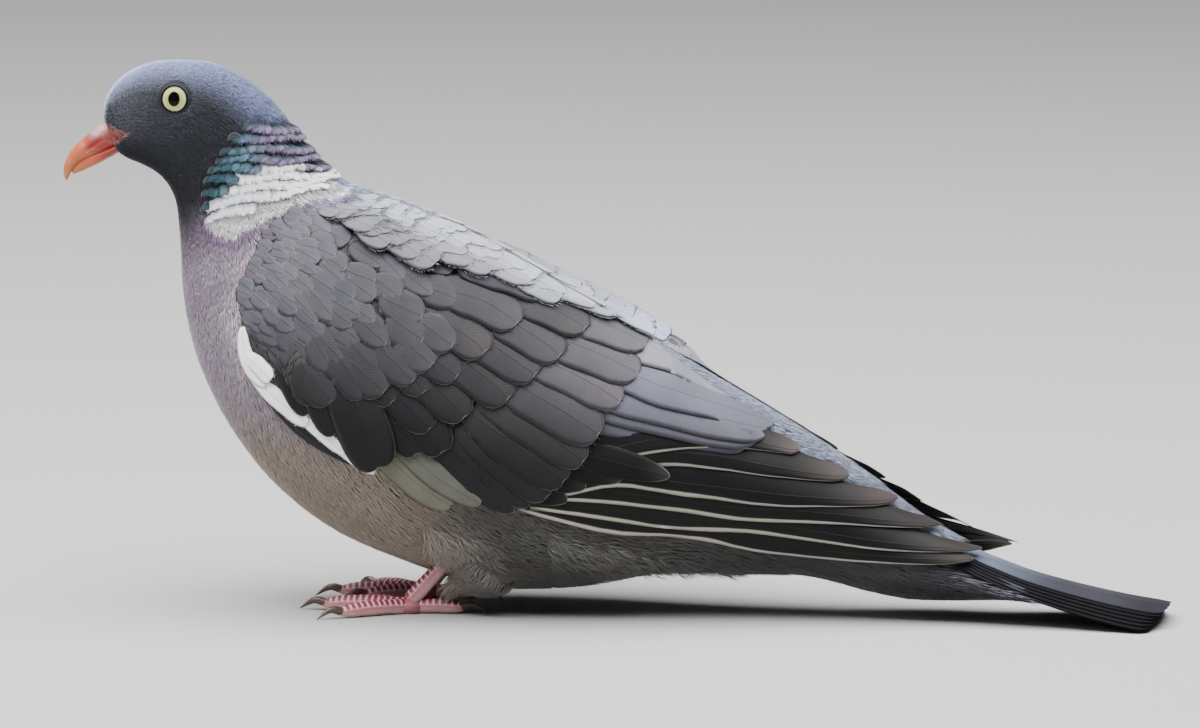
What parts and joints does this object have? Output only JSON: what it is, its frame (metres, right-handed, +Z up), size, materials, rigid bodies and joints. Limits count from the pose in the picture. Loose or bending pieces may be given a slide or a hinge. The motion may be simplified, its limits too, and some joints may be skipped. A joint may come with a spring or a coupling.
{
  "type": "wood pigeon model",
  "caption": "Life-size still wood pigeon, standing low with folded wings, a white neck patch, a white wing edge and a long tail laid on the floor.",
  "frame": {"origin": "on the floor, below the middle of the bird's length and width", "axes": "+X towards the tail, so the bird faces -X, +Y towards its right side, +Z up"},
  "size_m": [0.3624, 0.1003, 0.1772],
  "materials": {
    "head_feathers": "soft blue-grey feathers",
    "neck_feathers": "furrowed green and purple sheen with a white patch",
    "body_feathers": "soft mauve-grey to pale grey feathers",
    "wing_feathers": "matt slate-brown feathers, darker towards the tips, with a white edge",
    "tail_feathers": "matt dark grey feathers with a black end band",
    "bill_horn": "satin orange-red horn with a whitish cere and a yellow tip",
    "eye": "wet gloss, pale yellow iris and black pupil",
    "foot_skin": "pink-red scuted skin",
    "claw_horn": "satin dark horn"
  },
  "bodies": {
    "root": {"head": "head_feathers", "bill_upper": "bill_horn", "bill_lower": "bill_horn", "neck": "neck_feathers", "torso": "body_feathers", "rump": "body_feathers", "tail": "tail_feathers", "eye_left": "eye", "wing_left": "wing_feathers", "thigh_left": "body_feathers", "tarsus_left": "foot_skin", "foot_left": "foot_skin", "claw_inner_left": "claw_horn", "claw_middle_left": "claw_horn", "claw_outer_left": "claw_horn", "claw_hind_left": "claw_horn", "eye_right": "eye", "wing_right": "wing_feathers", "thigh_right": "body_feathers", "tarsus_right": "foot_skin", "foot_right": "foot_skin", "claw_inner_right": "claw_horn", "claw_middle_right": "claw_horn", "claw_outer_right": "claw_horn", "claw_hind_right": "claw_horn"}
  },
  "joints": []
}
